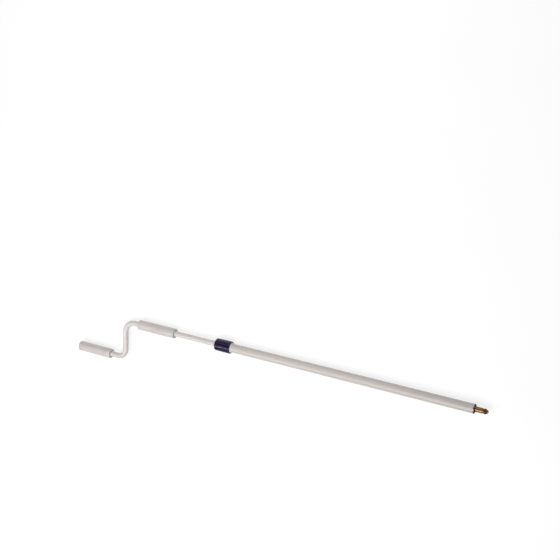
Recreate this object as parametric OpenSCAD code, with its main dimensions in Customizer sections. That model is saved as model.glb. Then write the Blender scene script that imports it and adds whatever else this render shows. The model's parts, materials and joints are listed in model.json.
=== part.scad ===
// Telescopic crank pole for a high roof window.
// The pole lies along X and its driving tip points to +X. The crank arm turns
// off to -Y, and the handle at its end runs back along -X. The origin is on the
// pole's axis, at the shoulder where the tip's round shank starts.

/* [Outer tube] */
// Outside diameter of the outer tube
tube_od = 22; // [19:0.5:28]
// Wall of the outer tube
tube_wall = 1.5; // [1:0.1:2]
// Length of the outer tube
tube_len = 625; // [520:5:900]

/* [Crank tube] */
// Outside diameter of the bent crank tube
rod_od = 14; // [12:0.5:15]
// Wall of the crank tube
rod_wall = 1.5; // [1:0.1:2]
// Distance between the pole's axis and the handle's axis
crank_throw = 101; // [70:1:160]
// Centre-line radius of the bend beside the pole
pole_bend_r = 28; // [20:1:34]
// Centre-line radius of the bend beside the handle
handle_bend_r = 23; // [20:1:34]
// Length of crank tube inside the outer tube, from its mouth
rod_insert = 450; // [300:5:460]
// Length of crank tube that shows between the collar and the guide grip
exposed_len = 120.5; // [20:0.5:140]

/* [Grips] */
// Overall length of the handle grip, its end cap included
handle_len = 103; // [80:1:130]
// Overall length of the guide grip on the pole
guide_len = 108; // [80:1:140]
// Wall of a grip sleeve
grip_wall = 2; // [1.5:0.1:3]
// Wall of the bushes that the sleeves turn on
bush_wall = 3.6; // [3:0.1:5]
// Length of a bush inside its sleeve
bush_len = 12; // [8:1:18]
// Thickness of a bush's flange
bush_flange = 4; // [3.5:0.1:6]
// Height of the dome on the handle's end cap
cap_dome = 4.5; // [2:0.5:8]
// Width of the end cap's rim, between its dome and the sleeve
cap_rim = 1.5; // [1:0.1:3]
// Straight tube between the bend and the guide grip
guide_gap = 15; // [4:1:40]
// Straight tube between the bend and the handle
handle_gap = 22; // [4:1:40]
// Width of the stop rings pressed on the crank tube, sunk in the bushes' faces
stop_width = 3; // [2:0.1:3.1]
// Wall of the stop rings
stop_wall = 1.8; // [1.2:0.1:2]

/* [Lock] */
// Length of the lock collar
collar_len = 42.5; // [39:0.5:52]
// Wall of the collar at its wide end, over the ferrule's sleeve
collar_wall = 2.75; // [1.8:0.05:3]
// How much narrower the collar's radius is at its other end
collar_taper = 0.4; // [0:0.1:1]
// Thickness of the collar's end wall
collar_end = 3; // [2:0.5:5]
// Number of finger flutes round the collar
flutes = 8; // [6:1:12]
// Depth of a finger flute
flute_depth = 0.9; // [0.5:0.1:1.2]
// Wall of the ferrule's sleeve on the outer tube
ferrule_wall = 1.5; // [1.4:0.1:2.5]
// Length of the ferrule's sleeve on the outer tube
sleeve_len = 14.5; // [10:0.5:18]
// Length of the ferrule's nose, before the tube's mouth
nose_len = 10; // [8:1:12]
// Length of the ferrule's spigot inside the outer tube
spigot_len = 12; // [8:1:20]
// Length of the ferrule's thin lip that shows behind the collar
lip_len = 1.8; // [1:0.2:4]
// Wall of the ferrule's lip
lip_wall = 0.6; // [0.5:0.1:1.2]
// Depth of the ferrule's thread
thread_depth = 1; // [0.8:0.1:1.2]
// Thickness of the rubber wiper ring in the collar's end wall
wiper_width = 1.6; // [1.2:0.1:1.8]
// Height of the wiper ring's section
wiper_wall = 1.8; // [1.4:0.1:2]

/* [Tip] */
// Diameter of the tip's round shank
shank_d = 12; // [10:0.5:14]
// Length of the round shank
shank_len = 17.5; // [10:0.5:25]
// Diameter of the neck behind the ball end
neck_d = 10.4; // [7:0.2:10.6]
// Length of the neck
neck_len = 1.5; // [1:0.5:6]
// Diameter of the ball end
ball_d = 12.4; // [11.8:0.2:12.4]
// Size of the hexagon on the ball end, across its flats
ball_flats = 11; // [11:0.2:11.6]
// Diameter of the blunt nose on the ball end
nose_d = 7; // [5:0.5:8]
// How far the nose stands out of the ball
nose_out = 0.8; // [0.4:0.1:2]
// Thickness of the tip's flange on the end of the tube
tip_flange = 2; // [1.5:0.1:4]
// Length of the tip's body inside the tube
insert_len = 36; // [28:1:45]
// Diameter of the cross pins
pin_d = 3; // [2.5:0.1:3.5]

/* [Guide plug] */
// Length of the guide plug's head, which slides in the outer tube
plug_head = 20; // [14:1:30]
// Length of the guide plug's spigot in the crank tube
plug_spigot = 18; // [14:1:30]

/* [Hidden] */

// Smoothness of round surfaces
$fn = 96;
// Radial gap of a fixed fit
fit = 0.05;
// Radial gap of a running fit
run = 0.08;
// End gap between pieces that turn or slide past each other
end_gap = 0.3;
// Small chamfer on moulded and turned edges
chamfer = 1;
// How far a cutter runs past the face that it cuts
past = 1;

// Radii of the tubes
tube_r = tube_od / 2;
tube_ir = tube_r - tube_wall;
rod_r = rod_od / 2;
rod_ir = rod_r - rod_wall;

// Grip radii, worked out from the crank tube
bush_ir = rod_r + run;
bush_r = bush_ir + bush_wall;
sleeve_ir = bush_r + fit;
grip_r = sleeve_ir + grip_wall;
stop_r = rod_r + fit + stop_wall;

// Lock radii, worked out from the outer tube
ferrule_ir = tube_r + fit;
ferrule_r = ferrule_ir + ferrule_wall;
ferrule_bore = rod_r + run;
thread_r = ferrule_r - thread_depth;
collar_ir = ferrule_r + run;
collar_r = collar_ir + collar_wall;
lip_r = ferrule_ir + lip_wall;
collar_bore = rod_r + end_gap;
collet_ir = rod_r + fit;
collet_r = thread_r - end_gap;
// The collet's thin end, its plain ring and its slots
collet_tip_r = collet_ir + 1.6;
collet_ring = 3.5;
collet_slot = 1.2;
// The collet's keys
key_width = 4;
key_len = 2.4;

// Places along the pole, from the tip's shoulder backwards
tube_end = -tip_flange;
tube_mouth = tube_end - tube_len;
collar_front = tube_mouth + sleeve_len - end_gap;
collar_back = collar_front - collar_len;
nose_back = tube_mouth - nose_len;
collet_front = nose_back - end_gap;
collet_back = collar_back + collar_end + end_gap;
collet_len = collet_front - collet_back;
wiper_back = collar_back + (collar_end - wiper_width) / 2;
guide_front = collar_back - exposed_len;
guide_back = guide_front - guide_len;
arm_x = guide_back - guide_gap - pole_bend_r;
handle_front = arm_x - handle_bend_r - handle_gap;
handle_back = handle_front - handle_len;
rod_end = tube_mouth + rod_insert;

// Places inside the handle, from its outer end
cap_thick = cap_dome + cap_rim;
cap_spigot = 5.5;
rod_tail = handle_back + cap_thick + 2.5;
disc_thick = 1;
nut_back = rod_tail + 1.8;
washer_back = nut_back + disc_thick + run;
outer_bush_back = washer_back + disc_thick + run;
disc_r = rod_r + 1.75;
cap_ir = disc_r + 2 * end_gap;

// The tip's ball end: its radius, and how far its centre and the nose's face are
// from the shoulder
ball_r = ball_d / 2;
ball_mid = shank_len + neck_len + sqrt(ball_r * ball_r - neck_d * neck_d / 4);
tip_front = ball_mid + ball_r + nose_out;
pin_x = tube_end - insert_len * 0.57;
plug_pin_x = rod_end - plug_spigot / 2;
pin_slot = 0.6;

// Colours
white_lacquer = [0.86, 0.85, 0.83];
grip_grey = [0.82, 0.80, 0.78];
navy = [0.07, 0.06, 0.13];
pale_plastic = [0.90, 0.90, 0.88];
natural_acetal = [0.93, 0.92, 0.86];
brass = [0.72, 0.52, 0.25];
steel = [0.66, 0.67, 0.68];
rubber_black = [0.05, 0.05, 0.05];

// Turns a piece that is made along +Z to lie along +X, starting at x
module along_x(x) {
    translate([x, 0, 0]) rotate([0, 90, 0]) children();
}

// A round tube along +Z, with a chamfer on the outer edges
module ring(outer, inner, height, edge = 0) {
    rotate_extrude() polygon([
        [inner, 0], [outer - edge, 0], [outer, edge],
        [outer, height - edge], [outer - edge, height], [inner, height]]);
}

// A slotted spring pin along Z, centred on the origin
module spring_pin(length) {
    difference() {
        cylinder(d = pin_d, h = length, center = true);
        cylinder(d = pin_d / 2, h = length + 2 * past, center = true);
        translate([0, -pin_slot / 2, -length / 2 - past])
            cube([pin_d, pin_slot, length + 2 * past]);
    }
}

// The hole for a cross pin through the pole's axis at x
module pin_hole(x) {
    translate([x, 0, 0]) cylinder(d = pin_d + 2 * fit, h = 2 * tube_od, center = true);
}

module outer_tube() {
    color(white_lacquer) difference() {
        along_x(tube_mouth) ring(tube_r, tube_ir, tube_len, 0.2);
        pin_hole(pin_x);
    }
}

// Turned brass tip: body with two grooves, flange, shank, neck, and a ball end
// with a hexagon's six flats and a blunt nose
module tip_fitting() {
    groove = 0.8;
    body_r = tube_ir - fit;
    shank_r = shank_d / 2;
    neck_r = neck_d / 2;
    nose_r = nose_d / 2;
    shank_start = insert_len + tip_flange;
    color(brass) difference() {
        union() {
            along_x(tube_end - insert_len) rotate_extrude() polygon([
                [0, 0], [body_r - chamfer, 0], [body_r, chamfer],
                [body_r, insert_len * 0.3], [body_r - groove, insert_len * 0.3],
                [body_r - groove, insert_len * 0.36], [body_r, insert_len * 0.36],
                [body_r, insert_len * 0.8], [body_r - groove, insert_len * 0.8],
                [body_r - groove, insert_len * 0.86], [body_r, insert_len * 0.86],
                [body_r, insert_len], [tube_r - 0.3, insert_len],
                [tube_r, insert_len + 0.3], [tube_r, shank_start - 0.5],
                [tube_r - 0.5, shank_start], [shank_r, shank_start],
                [shank_r, shank_start + shank_len - 0.5],
                [neck_r, shank_start + shank_len], [neck_r, shank_start + ball_mid],
                [nose_r, shank_start + ball_mid], [nose_r, shank_start + tip_front - 0.4],
                [nose_r - 0.4, shank_start + tip_front], [0, shank_start + tip_front]]);
            intersection() {
                along_x(ball_mid) sphere(r = ball_r);
                along_x(ball_mid - 2 * ball_r)
                    cylinder(d = ball_flats / cos(30), h = 4 * ball_r, $fn = 6);
            }
        }
        pin_hole(pin_x);
    }
}

module tip_pin() {
    color(steel) translate([pin_x, 0, 0]) spring_pin(tube_od - 0.6);
}

// Ferrule on the mouth of the outer tube: sleeve and thin lip outside, spigot
// inside, and the nose in front, with two slots for the collet's keys
module ferrule() {
    spigot_r = tube_ir - fit;
    outer_len = nose_len + sleeve_len;
    color(pale_plastic) difference() {
        along_x(nose_back) rotate_extrude() polygon([
            [ferrule_bore, 0], [thread_r - 0.6, 0], [thread_r, 0.6],
            [thread_r, nose_len - 1], [ferrule_r, nose_len - 1],
            [ferrule_r, outer_len - 1], [lip_r, outer_len - 1],
            [lip_r, outer_len + lip_len - 0.3], [lip_r - 0.3, outer_len + lip_len],
            [ferrule_ir, outer_len + lip_len], [ferrule_ir, nose_len],
            [spigot_r, nose_len], [spigot_r, nose_len + spigot_len],
            [ferrule_bore, nose_len + spigot_len]]);
        translate([nose_back - past, -key_width / 2 - end_gap / 2, -2 * thread_r])
            cube([past + key_len + end_gap, key_width + end_gap, 4 * thread_r]);
    }
}

// Split collet with a taper towards the crank, and two keys in the ferrule's slots
module collet() {
    taper = collet_len - collet_ring - 2;
    color(natural_acetal) difference() {
        union() {
            along_x(collet_back) rotate_extrude() polygon([
                [collet_ir, 0], [collet_tip_r, 0], [collet_r, taper],
                [collet_r, collet_len], [collet_ir, collet_len]]);
            difference() {
                translate([collet_front - past, -key_width / 2, -collet_r + 0.4])
                    cube([past + key_len, key_width, 2 * collet_r - 0.8]);
                along_x(collet_front - 2 * past)
                    cylinder(r = collet_ir, h = key_len + 4 * past);
            }
        }
        for (a = [45, 135])
            rotate([a, 0, 0])
                translate([collet_back - past, -collet_slot / 2, -tube_od])
                    cube([past + collet_len - collet_ring, collet_slot, 2 * tube_od]);
    }
}

// A finger flute: a round-ended groove along the collar
module flute(length) {
    flute_r = 7;
    translate([0, 0, collar_r + flute_r - flute_depth]) {
        along_x(0) cylinder(r = flute_r, h = length, $fn = 64);
        sphere(r = flute_r, $fn = 64);
        translate([length, 0, 0]) sphere(r = flute_r, $fn = 64);
    }
}

// Rubber ring that wipes the crank tube, in a groove in the collar's end wall
module wiper_ring() {
    color(rubber_black) along_x(wiper_back)
        ring(rod_r + run + wiper_wall, rod_r + run, wiper_width, 0.2);
}

// Lock collar: end wall with the wiper's groove, cone over the collet, and a
// plain bore over the ferrule's nose and sleeve
module lock_collar() {
    band = 6;
    back_r = collar_r - collar_taper;
    rounding = 0.7 * collar_wall;
    cone_back = collet_back - collar_back;
    cone_front = cone_back + collet_len - collet_ring - 2;
    thread_back = nose_back - collar_back;
    plain_back = tube_mouth - collar_back - 1 - end_gap;
    groove_r = rod_r + run + wiper_wall + fit;
    groove_back = wiper_back - collar_back - fit;
    groove_front = groove_back + wiper_width + 2 * fit;
    color(navy) difference() {
        along_x(collar_back) rotate_extrude() polygon([
            [collar_bore, 0], [back_r - 2 * chamfer, 0],
            [back_r - 0.6 * chamfer, 0.6 * chamfer], [back_r, 2 * chamfer],
            [collar_r, collar_len - 1.3 * rounding],
            [collar_r - 0.3 * rounding, collar_len - 0.45 * rounding],
            [collar_r - rounding, collar_len],
            [collar_ir, collar_len], [collar_ir, plain_back],
            [thread_r + run, plain_back], [thread_r + run, thread_back - end_gap],
            [collet_r + run, cone_front - run], [collet_tip_r + run, cone_back - run],
            [collar_bore, cone_back - run], [collar_bore, groove_front],
            [groove_r, groove_front], [groove_r, groove_back],
            [collar_bore, groove_back]]);
        for (i = [0 : flutes - 1])
            rotate([360 * i / flutes, 0, 0])
                translate([collar_back + band, 0, 0]) flute(collar_len - 2 * band);
    }
}

// A quarter bend of a round bar in the XY plane. It runs from the +Y side of its
// centre, which is the origin, round to the -X side.
module quarter_bend(bend_r, r) {
    rotate([0, 0, 90]) rotate_extrude(angle = 90) translate([bend_r, 0]) circle(r = r);
}

// The crank tube's path, drawn with a round bar of radius r. ends is how far a
// cutter runs past both ends.
module crank_path(r, ends = 0) {
    arm_len = crank_throw - pole_bend_r - handle_bend_r;
    along_x(arm_x + pole_bend_r) cylinder(r = r, h = rod_end - arm_x - pole_bend_r + ends);
    translate([arm_x + pole_bend_r, -pole_bend_r, 0]) quarter_bend(pole_bend_r, r);
    translate([arm_x, -pole_bend_r, 0]) rotate([90, 0, 0]) cylinder(r = r, h = arm_len);
    translate([arm_x - handle_bend_r, handle_bend_r - crank_throw, 0])
        rotate([0, 0, 180]) quarter_bend(handle_bend_r, r);
    translate([0, -crank_throw, 0]) along_x(rod_tail - ends)
        cylinder(r = r, h = arm_x - handle_bend_r - rod_tail + ends);
}

module crank_tube() {
    color(white_lacquer) difference() {
        crank_path(rod_r);
        crank_path(rod_ir, past);
        pin_hole(plug_pin_x);
    }
}

// Plug on the crank tube's inner end, which guides it in the outer tube and
// stops it at the ferrule's spigot
module guide_plug() {
    plug_r = tube_ir - run;
    spigot_r = rod_ir - fit;
    color(natural_acetal) difference() {
        along_x(rod_end - plug_spigot) rotate_extrude() polygon([
            [0, 0], [spigot_r - chamfer, 0], [spigot_r, chamfer],
            [spigot_r, plug_spigot], [plug_r, plug_spigot],
            [plug_r, plug_spigot + plug_head * 0.35],
            [plug_r - chamfer, plug_spigot + plug_head * 0.4],
            [plug_r - chamfer, plug_spigot + plug_head * 0.6],
            [plug_r, plug_spigot + plug_head * 0.65],
            [plug_r, plug_spigot + plug_head - chamfer],
            [plug_r - chamfer, plug_spigot + plug_head], [0, plug_spigot + plug_head]]);
        pin_hole(plug_pin_x);
    }
}

module guide_plug_pin() {
    color(steel) translate([plug_pin_x, 0, 0]) spring_pin(rod_od - 0.6);
}

// A stop ring on the crank tube, sunk in the face of the bush that starts at x
// and runs in the direction dir, on the axis at y
module stop_ring(x, dir, y = 0) {
    back = dir > 0 ? x : x - stop_width;
    color(white_lacquer) translate([0, y, 0])
        along_x(back) ring(stop_r, rod_r + fit, stop_width, 0.3);
}

// A flanged bush, its flange at z = 0 and its body towards +Z. The flange's face
// has a counterbore for a stop ring.
module flanged_bush() {
    sink_r = stop_r + end_gap;
    sink = stop_width + end_gap;
    rounding = 1.6;
    rotate_extrude() polygon([
        [sink_r, 0], [grip_r - rounding, 0], [grip_r - 0.3 * rounding, 0.3 * rounding],
        [grip_r, rounding], [grip_r, bush_flange],
        [bush_r, bush_flange], [bush_r, bush_flange + bush_len - 0.5],
        [bush_r - 0.5, bush_flange + bush_len], [bush_ir, bush_flange + bush_len],
        [bush_ir, sink], [sink_r, sink]]);
}

// A plain grip sleeve from one place on the pole to another
module grip_sleeve(from, to) {
    along_x(from) ring(grip_r, sleeve_ir, to - from, 0.2);
}

module guide_sleeve() {
    color(grip_grey) grip_sleeve(guide_back + bush_flange, guide_front - bush_flange);
}

module guide_rear_bush() {
    color(pale_plastic) along_x(guide_back) flanged_bush();
}

module guide_front_bush() {
    color(pale_plastic) along_x(guide_front) mirror([0, 0, 1]) flanged_bush();
}

module guide_rear_stop() {
    stop_ring(guide_back, 1);
}

module guide_front_stop() {
    stop_ring(guide_front, -1);
}

module handle_sleeve() {
    color(grip_grey) translate([0, -crank_throw, 0])
        grip_sleeve(handle_back + cap_thick, handle_front - bush_flange);
}

module handle_inner_bush() {
    color(pale_plastic) translate([0, -crank_throw, 0])
        along_x(handle_front) mirror([0, 0, 1]) flanged_bush();
}

// Plain bush near the handle's outer end, held by the washer and the push nut
module handle_outer_bush() {
    color(pale_plastic) translate([0, -crank_throw, 0])
        along_x(outer_bush_back) ring(bush_r, bush_ir, bush_len, 0.5);
}

// End cap with a dome and a hollow spigot that clears the push nut
module handle_end_cap() {
    dome_r = (grip_r * grip_r + cap_dome * cap_dome) / (2 * cap_dome);
    color(pale_plastic) translate([0, -crank_throw, 0]) {
        intersection() {
            along_x(handle_back) cylinder(r = grip_r, h = cap_thick);
            along_x(handle_back + dome_r) sphere(r = dome_r);
        }
        along_x(handle_back + cap_thick) ring(bush_r, cap_ir, cap_spigot);
    }
}

module handle_stop() {
    stop_ring(handle_front, -1, -crank_throw);
}

module thrust_washer() {
    color(steel) translate([0, -crank_throw, 0])
        along_x(washer_back) ring(disc_r, rod_r + run, disc_thick);
}

// Push nut: a spring-steel disc whose notched bore grips the end of the tube
module push_nut() {
    notches = 6;
    color(steel) translate([0, -crank_throw, 0]) along_x(nut_back) difference() {
        ring(disc_r, rod_r + fit, disc_thick);
        for (i = [0 : notches - 1])
            rotate([0, 0, 360 * i / notches])
                translate([rod_r - past, -0.6, -past])
                    cube([past + 0.9, 1.2, disc_thick + 2 * past]);
    }
}

outer_tube();
tip_fitting();
tip_pin();
ferrule();
collet();
wiper_ring();
lock_collar();
crank_tube();
guide_plug();
guide_plug_pin();
guide_rear_stop();
guide_front_stop();
handle_stop();
push_nut();
thrust_washer();
guide_sleeve();
guide_rear_bush();
guide_front_bush();
handle_sleeve();
handle_inner_bush();
handle_outer_bush();
handle_end_cap();
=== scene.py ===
"""Looks of a telescopic crank pole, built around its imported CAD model. Metres, in the CAD frame."""
import json
import math

import bpy
from mathutils import Matrix, Vector


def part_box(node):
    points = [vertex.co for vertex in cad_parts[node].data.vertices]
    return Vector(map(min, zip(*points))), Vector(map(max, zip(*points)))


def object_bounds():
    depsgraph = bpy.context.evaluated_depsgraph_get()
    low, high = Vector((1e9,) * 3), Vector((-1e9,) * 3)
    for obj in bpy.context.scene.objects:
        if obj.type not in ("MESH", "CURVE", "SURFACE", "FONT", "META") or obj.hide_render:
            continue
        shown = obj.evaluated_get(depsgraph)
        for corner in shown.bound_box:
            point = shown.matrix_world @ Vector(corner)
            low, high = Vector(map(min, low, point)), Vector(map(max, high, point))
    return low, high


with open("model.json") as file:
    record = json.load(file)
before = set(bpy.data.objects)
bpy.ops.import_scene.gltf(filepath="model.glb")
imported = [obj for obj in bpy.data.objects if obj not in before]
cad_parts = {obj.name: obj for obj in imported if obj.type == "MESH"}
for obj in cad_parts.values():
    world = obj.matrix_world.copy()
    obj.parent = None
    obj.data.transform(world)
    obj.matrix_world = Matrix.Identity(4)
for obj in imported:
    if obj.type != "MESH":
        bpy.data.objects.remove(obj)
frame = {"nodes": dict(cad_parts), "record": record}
cad_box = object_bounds()

MM = 0.001


# ---------------------------------------------------------------- camera

LENS = 62.4  # mm on a 36 mm sensor
AIM = Vector((-0.4917, 0.1995, 0.0))  # the point on the pole's plane at the middle of the picture
AIM_DISTANCE = 2.264
CAMERA_AZIMUTH = math.radians(37.26)  # from +X towards +Y
CAMERA_ELEVATION = math.radians(58.58)
CAMERA_ROLL = math.radians(119.71)


def make_camera():
    """The camera looks down on the lying pole from the tip's side, turned so that the pole lies across."""
    data = bpy.data.cameras.new("camera")
    data.lens = LENS
    data.sensor_width = 36.0
    data.clip_start = 0.05
    data.clip_end = 50.0
    camera = bpy.data.objects.new("camera", data)
    bpy.context.scene.collection.objects.link(camera)
    back = Vector((
        math.cos(CAMERA_AZIMUTH) * math.cos(CAMERA_ELEVATION),
        math.sin(CAMERA_AZIMUTH) * math.cos(CAMERA_ELEVATION),
        math.sin(CAMERA_ELEVATION),
    ))
    level = (-back).to_track_quat("-Z", "Y").to_matrix().to_4x4()
    roll = Matrix.Rotation(-CAMERA_ROLL, 4, "Z")
    camera.matrix_world = Matrix.Translation(AIM + back * AIM_DISTANCE) @ level @ roll
    bpy.context.scene.camera = camera


# ---------------------------------------------------------------- stage and light

FLOOR_DROP = 0.0005  # the floor lies just under the collar, which the pole rests on
FLOOR_SIZE = 40.0
FLOOR_GLOW = 0.79  # the floor's own light, which keeps the pole's shadow faint
SURROUND_SEEN = 0.93  # grey of the surround where the camera sees it past the floor
SURROUND_GLOW = 0.14  # strength of the surround as a light

# Each softbox: its name, its place, the point it faces, its two sizes and its power in watts
SOFTBOXES = [
    ("key", (-1.42, -0.80, 1.49), (-0.62, 0.0, 0.0), 0.5, 0.3, 11.0),
    ("fill", (-0.35, -0.85, 1.20), (-0.92, 0.0, 0.0), 0.8, 0.6, 9.0),
    ("overhead", (-0.75, -0.25, 2.3), (-0.5, 0.0, 0.0), 1.6, 1.2, 34.0),
    ("cross", (-0.72, 0.80, 0.45), (-0.74, 0.0, 0.0), 0.5, 0.3, 1.2),
    ("rim", (-0.65, 1.5, 0.45), (-0.62, 0.0, 0.0), 1.2, 0.4, 6.0),
]


def add_light(name, at, towards, size_x, size_y, power):
    """A rectangular softbox that faces the point towards, out of the camera's sight."""
    data = bpy.data.lights.new(name, "AREA")
    data.shape = "RECTANGLE"
    data.size = size_x
    data.size_y = size_y
    data.energy = power
    light = bpy.data.objects.new(name, data)
    bpy.context.scene.collection.objects.link(light)
    light.location = at
    light.rotation_mode = "QUATERNION"
    light.rotation_quaternion = (Vector(towards) - Vector(at)).to_track_quat("-Z", "Y")
    light.visible_camera = False


def make_stage():
    """A plain pale floor under the pole."""
    floor_z = cad_box[0].z - FLOOR_DROP
    half = FLOOR_SIZE / 2
    mesh = bpy.data.meshes.new("floor")
    corners = [(-half, -half), (half, -half), (half, half), (-half, half)]
    mesh.from_pydata([(x, y, floor_z) for x, y in corners], [], [(0, 1, 2, 3)])
    floor = bpy.data.objects.new("floor", mesh)
    bpy.context.scene.collection.objects.link(floor)
    mesh.materials.append(floor_material())


def make_light():
    """A softbox on each side of the crank arm, a large one overhead, a small one across the collar and
    a low one behind the pole. The surround is dim as a light, so that the tubes keep their shading."""
    for softbox in SOFTBOXES:
        add_light(*softbox)
    world = bpy.data.worlds.new("surround")
    bpy.context.scene.world = world
    world.use_nodes = True
    tree = world.node_tree
    seen = tree.nodes["Background"]
    seen.inputs["Color"].default_value = (SURROUND_SEEN, SURROUND_SEEN, SURROUND_SEEN, 1.0)
    glow = tree.nodes.new("ShaderNodeBackground")
    glow.inputs["Color"].default_value = (0.97, 0.98, 1.0, 1.0)
    glow.inputs["Strength"].default_value = SURROUND_GLOW
    path = tree.nodes.new("ShaderNodeLightPath")
    blend = tree.nodes.new("ShaderNodeMixShader")
    tree.links.new(path.outputs["Is Camera Ray"], blend.inputs["Fac"])
    tree.links.new(glow.outputs["Background"], blend.inputs[1])
    tree.links.new(seen.outputs["Background"], blend.inputs[2])
    tree.links.new(blend.outputs["Shader"], tree.nodes["World Output"].inputs["Surface"])


# ---------------------------------------------------------------- material tools


class Shader:
    """A small builder round one material's node tree. Patterns are read in object space, in metres."""

    def __init__(self, name):
        self.material = bpy.data.materials.new(name)
        self.material.use_nodes = True
        self.tree = self.material.node_tree
        self.bsdf = self.tree.nodes["Principled BSDF"]
        coordinates = self.tree.nodes.new("ShaderNodeTexCoord")
        self.place = coordinates.outputs["Object"]

    def set(self, **values):
        """Sets constant values on the shader's own sockets, named with _ for each space."""
        for name, value in values.items():
            self.bsdf.inputs[name.replace("_", " ")].default_value = value

    def link(self, source, socket):
        self.tree.links.new(source, self.bsdf.inputs[socket])

    def node(self, kind, inputs=None, **settings):
        made = self.tree.nodes.new(kind)
        for name, value in settings.items():
            setattr(made, name, value)
        for name, value in (inputs or {}).items():
            if hasattr(value, "links"):
                self.tree.links.new(value, made.inputs[name])
            else:
                made.inputs[name].default_value = value
        return made

    def stretched(self, scale):
        """Object coordinates times scale along each axis."""
        return self.node("ShaderNodeMapping", {"Vector": self.place, "Scale": scale}).outputs["Vector"]

    def noise(self, scale, detail=3.0, roughness=0.5, stretch=(1, 1, 1)):
        """Noise from 0 to 1. scale is in cycles a metre."""
        made = self.node(
            "ShaderNodeTexNoise",
            {"Vector": self.stretched(stretch), "Scale": scale, "Detail": detail, "Roughness": roughness},
        )
        return made.outputs["Fac"]

    def remap(self, value, low, high, to_low=0.0, to_high=1.0):
        made = self.node(
            "ShaderNodeMapRange",
            {"Value": value, "From Min": low, "From Max": high, "To Min": to_low, "To Max": to_high},
            clamp=True,
        )
        return made.outputs["Result"]

    def maths(self, operation, first, second=0.5):
        made = self.node("ShaderNodeMath", {0: first, 1: second}, operation=operation)
        return made.outputs["Value"]

    def axis(self, letter):
        split = self.node("ShaderNodeSeparateXYZ", {"Vector": self.place})
        return split.outputs[letter]

    def mix(self, factor, first, second):
        """Mixes two colours, each a socket or (r, g, b)."""
        made = self.tree.nodes.new("ShaderNodeMix")
        made.data_type = "RGBA"
        for index, value in ((0, factor), (6, first), (7, second)):
            if hasattr(value, "links"):
                self.tree.links.new(value, made.inputs[index])
            elif isinstance(value, tuple):
                made.inputs[index].default_value = (*value, 1.0)
            else:
                made.inputs[index].default_value = value
        return made.outputs[2]

    def bump(self, height, distance, strength=1.0, under=None):
        inputs = {"Height": height, "Distance": distance, "Strength": strength}
        if under is not None:
            inputs["Normal"] = under
        return self.node("ShaderNodeBump", inputs).outputs["Normal"]


def floor_material():
    """Matt pale paper that glows a little."""
    shader = Shader("floor_paper")
    shader.set(Roughness=0.9, Specular_IOR_Level=0.1, Emission_Strength=FLOOR_GLOW)
    grain = shader.noise(3.0, 2.0)
    shader.link(shader.mix(grain, (0.19, 0.19, 0.19), (0.21, 0.21, 0.21)), "Base Color")
    shader.link(shader.mix(grain, (0.98, 0.98, 0.98), (1.0, 1.0, 1.0)), "Emission Color")
    return shader.material


def lacquer(name, pale, shade, worn_ends=()):
    """Sprayed lacquer on steel tube: orange peel, faint cloudiness, and bare metal at the worn rims.
    worn_ends are the X places of the rims that rub."""
    shader = Shader(name)
    cloud = shader.noise(9.0, 2.0, stretch=(0.3, 1, 1))
    colour = shader.mix(shader.remap(cloud, 0.35, 0.65), pale, shade)
    rub = shader.noise(260.0, 2.0, stretch=(0.04, 1, 1))
    rough = shader.remap(rub, 0.3, 0.7, 0.30, 0.40)
    metal = None
    for place in worn_ends:
        distance = shader.maths("ABSOLUTE", shader.maths("SUBTRACT", shader.axis("X"), place))
        chips = shader.noise(900.0, 4.0, 0.7)
        reach = shader.remap(chips, 0.45, 0.75, 0.0, 1.4 * MM)
        bare = shader.maths("LESS_THAN", distance, reach)
        metal = bare if metal is None else shader.maths("MAXIMUM", metal, bare)
    if metal is not None:
        colour = shader.mix(metal, colour, (0.36, 0.35, 0.34))
        shader.link(metal, "Metallic")
    shader.link(colour, "Base Color")
    shader.link(rough, "Roughness")
    peel = shader.bump(shader.noise(1100.0, 2.0), 0.02 * MM)
    shader.link(shader.bump(rub, 0.01 * MM, under=peel), "Normal")
    shader.set(Specular_IOR_Level=0.4)
    return shader.material


def sleeve_plastic():
    """Extruded grip sleeve: smooth, with fine drawn lines along it and faint handling marks."""
    shader = Shader("grip_sleeve_plastic")
    smudge = shader.noise(26.0, 3.0)
    colour = shader.mix(shader.remap(smudge, 0.3, 0.7), (0.47, 0.43, 0.415), (0.51, 0.47, 0.455))
    lines = shader.noise(1500.0, 2.0, stretch=(0.01, 1, 1))
    shader.link(colour, "Base Color")
    shader.link(shader.remap(smudge, 0.3, 0.7, 0.24, 0.36), "Roughness")
    fine = shader.bump(lines, 0.012 * MM)
    shader.link(shader.bump(shader.noise(700.0, 3.0), 0.008 * MM, under=fine), "Normal")
    return shader.material


def moulded_plastic(name, pale, shade, rough, grain, **sheen):
    """Moulded plastic with a fine spark-eroded grain. sheen holds other constants of the shader."""
    shader = Shader(name)
    shader.set(**sheen)
    cloud = shader.noise(60.0, 3.0)
    shader.link(shader.mix(shader.remap(cloud, 0.3, 0.7), pale, shade), "Base Color")
    shader.link(shader.remap(cloud, 0.3, 0.7, rough - 0.05, rough + 0.06), "Roughness")
    shader.link(shader.bump(shader.noise(2600.0, 3.0, 0.6), grain), "Normal")
    return shader.material


def navy_plastic():
    """Satin moulded plastic, a deep violet navy with a faintly violet sheen."""
    pale = (0.005, 0.002, 0.017)
    shade = (0.007, 0.0035, 0.023)
    violet = (0.78, 0.66, 1.0, 1.0)
    return moulded_plastic(
        "navy_plastic", pale, shade, 0.28, 0.015 * MM, Specular_IOR_Level=0.42, Specular_Tint=violet
    )


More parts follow.
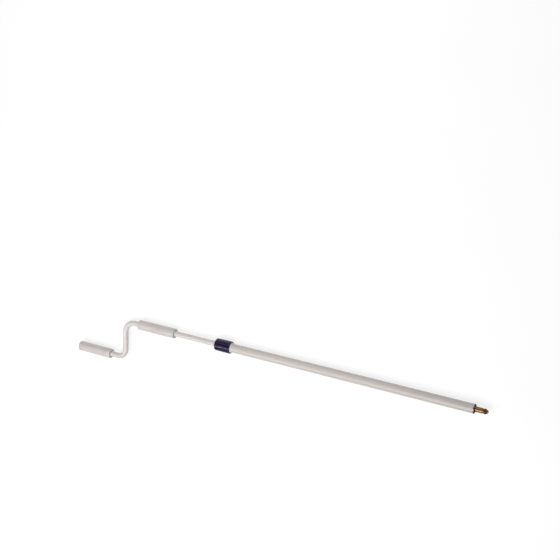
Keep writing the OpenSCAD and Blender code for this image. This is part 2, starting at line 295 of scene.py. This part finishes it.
def brass():
    """Turned brass with tool rings and patches of brown tarnish, darker where it is seen edge on."""
    shader = Shader("turned_brass")
    rings = shader.noise(5200.0, 2.0, stretch=(1, 0.01, 0.01))
    tarnish = shader.noise(420.0, 4.0, 0.65)
    spots = shader.remap(tarnish, 0.42, 0.68)
    colour = shader.mix(spots, (0.21, 0.125, 0.056), (0.08, 0.046, 0.022))
    shader.link(colour, "Base Color")
    shader.set(Metallic=1.0, Specular_Tint=(0.30, 0.24, 0.18, 1.0))
    shader.link(shader.remap(tarnish, 0.3, 0.7, 0.24, 0.38), "Roughness")
    shader.link(shader.bump(rings, 0.03 * MM), "Normal")
    return shader.material


def steel():
    """Dull drawn spring steel with fine rings and a little staining."""
    shader = Shader("spring_steel")
    rings = shader.noise(3800.0, 2.0, stretch=(1, 0.05, 0.05))
    stain = shader.noise(300.0, 3.0)
    colour = shader.mix(shader.remap(stain, 0.4, 0.7), (0.40, 0.40, 0.41), (0.28, 0.275, 0.27))
    shader.link(colour, "Base Color")
    shader.set(Metallic=1.0)
    shader.link(shader.remap(stain, 0.3, 0.7, 0.38, 0.52), "Roughness")
    shader.link(shader.bump(rings, 0.01 * MM), "Normal")
    return shader.material


def rubber():
    """Matt black rubber."""
    shader = Shader("wiper_rubber")
    grain = shader.noise(2500.0, 3.0)
    shader.link(shader.mix(grain, (0.018, 0.018, 0.018), (0.035, 0.035, 0.034)), "Base Color")
    shader.link(shader.remap(grain, 0.3, 0.7, 0.6, 0.75), "Roughness")
    shader.link(shader.bump(grain, 0.02 * MM), "Normal")
    return shader.material


# ---------------------------------------------------------------- the frame's own nodes

tube_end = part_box("outer_tube")[1].x
FINISHES = {
    "white_lacquer": lacquer("tube_lacquer", (0.455, 0.417, 0.393), (0.485, 0.446, 0.417), [tube_end]),
    "crank_lacquer": lacquer("crank_lacquer", (0.49, 0.465, 0.45), (0.53, 0.505, 0.49)),
    "grip_sleeve": sleeve_plastic(),
    "grip_bush": moulded_plastic("bush_plastic", (0.47, 0.445, 0.43), (0.51, 0.485, 0.47), 0.45, 0.015 * MM),
    "pale_plastic": moulded_plastic("white_plastic", (0.56, 0.55, 0.55), (0.61, 0.6, 0.6), 0.4, 0.012 * MM),
    "natural_acetal": moulded_plastic("acetal", (0.82, 0.81, 0.74), (0.86, 0.85, 0.79), 0.38, 0.010 * MM),
    "navy_plastic": navy_plastic(),
    "brass": brass(),
    "steel": steel(),
    "rubber": rubber(),
}


def finish_frame():
    """Gives every node its real finish."""
    slots = {part["node"]: part["material_slot"] for part in frame["record"]["subparts"]}
    for name, node in frame["nodes"].items():
        for index in range(len(node.material_slots)):
            node.material_slots[index].material = FINISHES[slots[name]]


make_camera()
make_stage()
make_light()
finish_frame()
bpy.context.scene.view_settings.view_transform = "Standard"
